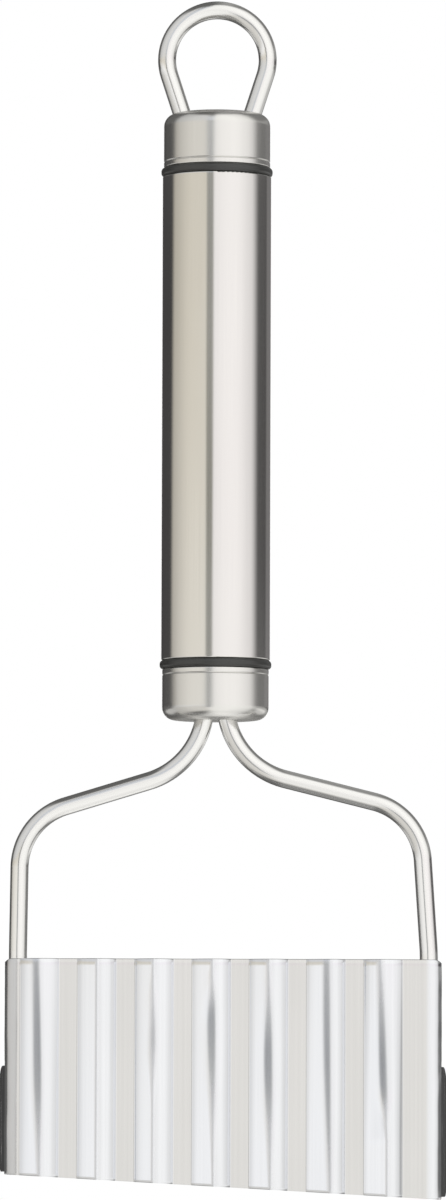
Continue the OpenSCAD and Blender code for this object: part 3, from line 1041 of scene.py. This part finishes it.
def studio_light(tree, slit):
    """Colour of the light from each side: two large panels in front, dark sides, white paper."""
    dx, back, dz = split(out(add(tree, "ShaderNodeTexCoord"), "Generated"))
    ahead, down = -back, -dz
    tilt = abs(dz).least(0.16)

    # A slit between the panels, a little to the left of the camera and narrower low down
    level_run = (1.0 - dz * dz).root().most(0.05)
    across = (dx * cos(slit) + ahead * sin(slit)) / level_run
    half = dz.ramp(*OVER_BLADE, 0.095, 0.125) * down.fade(0.25, 0.4)
    soft = dz.ramp(*OVER_BLADE, 0.07, 0.04)
    right = (across - half).ramp(-soft, soft)
    left = (-across - half).ramp(-soft, soft)

    # The panels fade out towards the sides; the left one is warmer and dimmer higher up
    right *= (ahead.ramp(-0.22, 0.22) * 0.75 + ahead.ramp(0.1, 0.8) * 0.25)
    right = right * dz.fade(0.86, 0.97) * down.fade(0.96, 0.995)
    level = across.ramp(0.15, 0.7, 0.92, 1.0) * dz.ramp(*OVER_BLADE, 0.95, 1.0)
    over_arms = tilt.ramp(*ARM_TOP)
    side = ahead - (tilt - 0.094) - (1.0 - over_arms) * 0.3
    left *= (side.ramp(-0.4, -0.16) * 0.7 + side.ramp(-0.2, 0.6) * 0.3)
    left = left * dz.fade(0.8, 0.92) * down.fade(0.92, 0.98)
    height = 0.98 - tilt * 1.45 - over_arms * 0.125
    beside = 1.0 - right.least(1.0)
    slot = beside * (1.0 - left.least(1.0)) * ahead.ramp(0.5, 0.8)

    # Dim sides, darkest at the height that the handle mirrors, and the white paper far behind
    band = dz.ramp(*HANDLE_FOOT) * dz.fade(*HANDLE_TOP)
    behind = back.ramp(0.97, 0.99) * dz.ramp(-0.2, -0.1, 0.2, 0.95)
    dim = 0.06 + dx.ramp(-0.1, 0.1) * (0.01 + 0.012 * band)
    dim += back.ramp(0.62, 0.74) * dx.ramp(0.1, 0.3) * 0.12 * band
    on_arms = tilt.ramp(*ARM_FOOT)
    spill = dx.ramp(-0.1, 0.25) * beside * on_arms
    spill *= (1.0 - abs(dz).ramp(0.2, 0.4) * dx.ramp(0.05, 0.35) * 0.8)
    spill *= (1.0 - dz.ramp(0.09, 0.11) * dz.fade(0.2, 0.3) * 0.5)
    grazing = back.ramp(0.8, 0.92) * (1.0 - dx.ramp(0.1, 0.3) * on_arms * 0.6)
    dim += (1.0 - band) * (1.0 - grazing) * (0.07 + spill * 0.36)

    # White paper below, darker towards the left, and a soft light low behind
    below = down.ramp(0.7, 0.9) * back.fade(0.5, 0.85) * dx.ramp(-0.3, -0.04, 0.03, 0.8)
    rear = back.ramp(0.1, 0.35) * abs(dx).ramp(0.45, 0.6) * down.ramp(0.15, 0.21)
    rear = rear * down.fade(0.5, 0.6) * 0.45

    # White, warm and cool light add up to red, green and blue
    white = (right * level).most(below) + behind + dim + rear
    warm = left * height * down.fade(0.7, 0.9)
    warmth = dz.ramp(0.0, 0.11) * dz.fade(0.13, 0.17) + down.ramp(0.05, 0.2) * 0.35
    cool = slot * (dz.ramp(*ARM_FOOT, 0.15, 0.55) - band * 0.35)
    red = white + warm + cool * (0.95 + band * 0.05)
    green = white * (0.995 - band * 0.03) + warm * (1.0 - warmth * 0.07) + cool * (1.0 - band * 0.05)
    blue = white * 0.975 + warm * (1.0 - warmth * 0.215) + cool * (1.1 - band * 0.38)
    return feed(tree, "ShaderNodeCombineColor", {0: red, 1: green, 2: blue})


def studio_world(stage):
    """World: the studio's light, and white paper where the camera sees past the cutter."""
    world = bpy.data.worlds.new("studio")
    world.use_nodes = True
    tree = world.node_tree
    tree.nodes.clear()
    studio, paper = (
        feed(tree, "ShaderNodeBackground", {"Color": colour, "Strength": 1.0})
        for colour in (studio_light(tree, stage.slit), (1, 1, 1, 1))
    )
    seen = out(add(tree, "ShaderNodeLightPath"), "Is Camera Ray")
    both = feed(tree, "ShaderNodeMixShader", {0: seen, 1: studio, 2: paper})
    add(tree, "ShaderNodeOutputWorld", {0: both})
    return world


def pale_floor(stage):
    """Wide pale floor below the cutter, kept out of the metal's reflections."""
    mesh = bpy.data.meshes.new("floor")
    ends = (-FLOOR_HALF, FLOOR_HALF)
    mesh.from_pydata([(x, y, stage.floor_z) for y in ends for x in ends], [], [(0, 1, 3, 2)])
    material, tree, shader = new_material("floor paper")
    level = 1.0 + (noise(tree, piece_lay(tree), 30.0) - 0.5) * 0.01
    tone = times(tree, tuple(stage.paper), level)
    seen = out(add(tree, "ShaderNodeLightPath"), "Is Camera Ray")
    fill_in(shader, {"Base Color": tone, "Roughness": 0.9, "Specular IOR Level": 0.1})
    fill_in(shader, {"Emission Color": (1, 1, 1, 1), "Emission Strength": seen * 0.5})
    mesh.materials.append(material)
    floor = show("floor", mesh)
    floor.visible_glossy = False


def lamp_overhead(stage):
    """Soft square lamp above the cutter, kept out of the metal's reflections."""
    lamp = bpy.data.lights.new("overhead panel", "AREA")
    lamp.shape = "SQUARE"
    lamp.size = stage.lamp_w
    lamp.energy = stage.lamp_power
    panel = show("overhead panel", lamp)
    panel.location = LAMP_AT
    panel.visible_glossy = False


def aim_camera(stage):
    """Camera at the photograph's angle: a little below the handle, looking up."""
    data = bpy.data.cameras.new("camera")
    data.sensor_fit = "VERTICAL"
    data.sensor_height = 36.0
    data.lens = data.sensor_height * stage.distance / stage.tall
    data.clip_start = 0.05
    data.clip_end = 50.0
    camera = show("camera", data)
    target = Vector((stage.side, 0.0, stage.middle))
    view = Vector((0.0, cos(stage.rise), sin(stage.rise)))
    camera.location = target - view * stage.distance
    camera.rotation_euler = view.to_track_quat("-Z", "Y").to_euler()
    camera.rotation_euler.rotate_axis("Z", stage.roll)
    bpy.context.scene.camera = camera


class CUTTER_OT_stage(bpy.types.Operator):
    """Set the floor, the studio light and the camera"""

    bl_idname = "cutter.stage"
    bl_label = "Stage"

    def execute(self, context):
        scene = context.scene
        stage = scene.cutter_stage
        scene.world = studio_world(stage)
        pale_floor(stage)
        lamp_overhead(stage)
        aim_camera(stage)
        scene.view_settings.view_transform = "Standard"
        return {"FINISHED"}


class CUTTER_PT_panel(bpy.types.Panel):
    """Sizes, finishes and build steps of the cutter"""

    bl_idname = "CUTTER_PT_panel"
    bl_label = "Crinkle cutter"
    bl_space_type = "VIEW_3D"
    bl_region_type = "UI"
    bl_category = "Cutter"

    def draw(self, context):
        for step in STEPS:
            self.layout.operator(step.bl_idname)
        for name, group in GROUPS.items():
            box = self.layout.box()
            box.label(text=group.__doc__)
            for key in group.__annotations__:
                box.prop(getattr(context.scene, name), key)


GROUPS = {
    "cutter_wires": WireSizes,
    "cutter_blade": BladeSizes,
    "cutter_finishes": Finishes,
    "cutter_stage": StageSizes,
}
STEPS = (CUTTER_OT_handle, CUTTER_OT_rings, CUTTER_OT_wires, CUTTER_OT_blade, CUTTER_OT_stage)


def register():
    for kind in (*GROUPS.values(), *STEPS, CUTTER_PT_panel):
        bpy.utils.register_class(kind)
    for name, group in GROUPS.items():
        setattr(bpy.types.Scene, name, PointerProperty(type=group))


def unregister():
    for name in GROUPS:
        delattr(bpy.types.Scene, name)
    for kind in (CUTTER_PT_panel, *reversed(STEPS), *GROUPS.values()):
        bpy.utils.unregister_class(kind)


def main():
    """Build the pieces and the stage in order."""
    register()
    for step in STEPS:
        family, name = step.bl_idname.split(".")
        getattr(getattr(bpy.ops, family), name)()


if __name__ == "__main__":
    main()
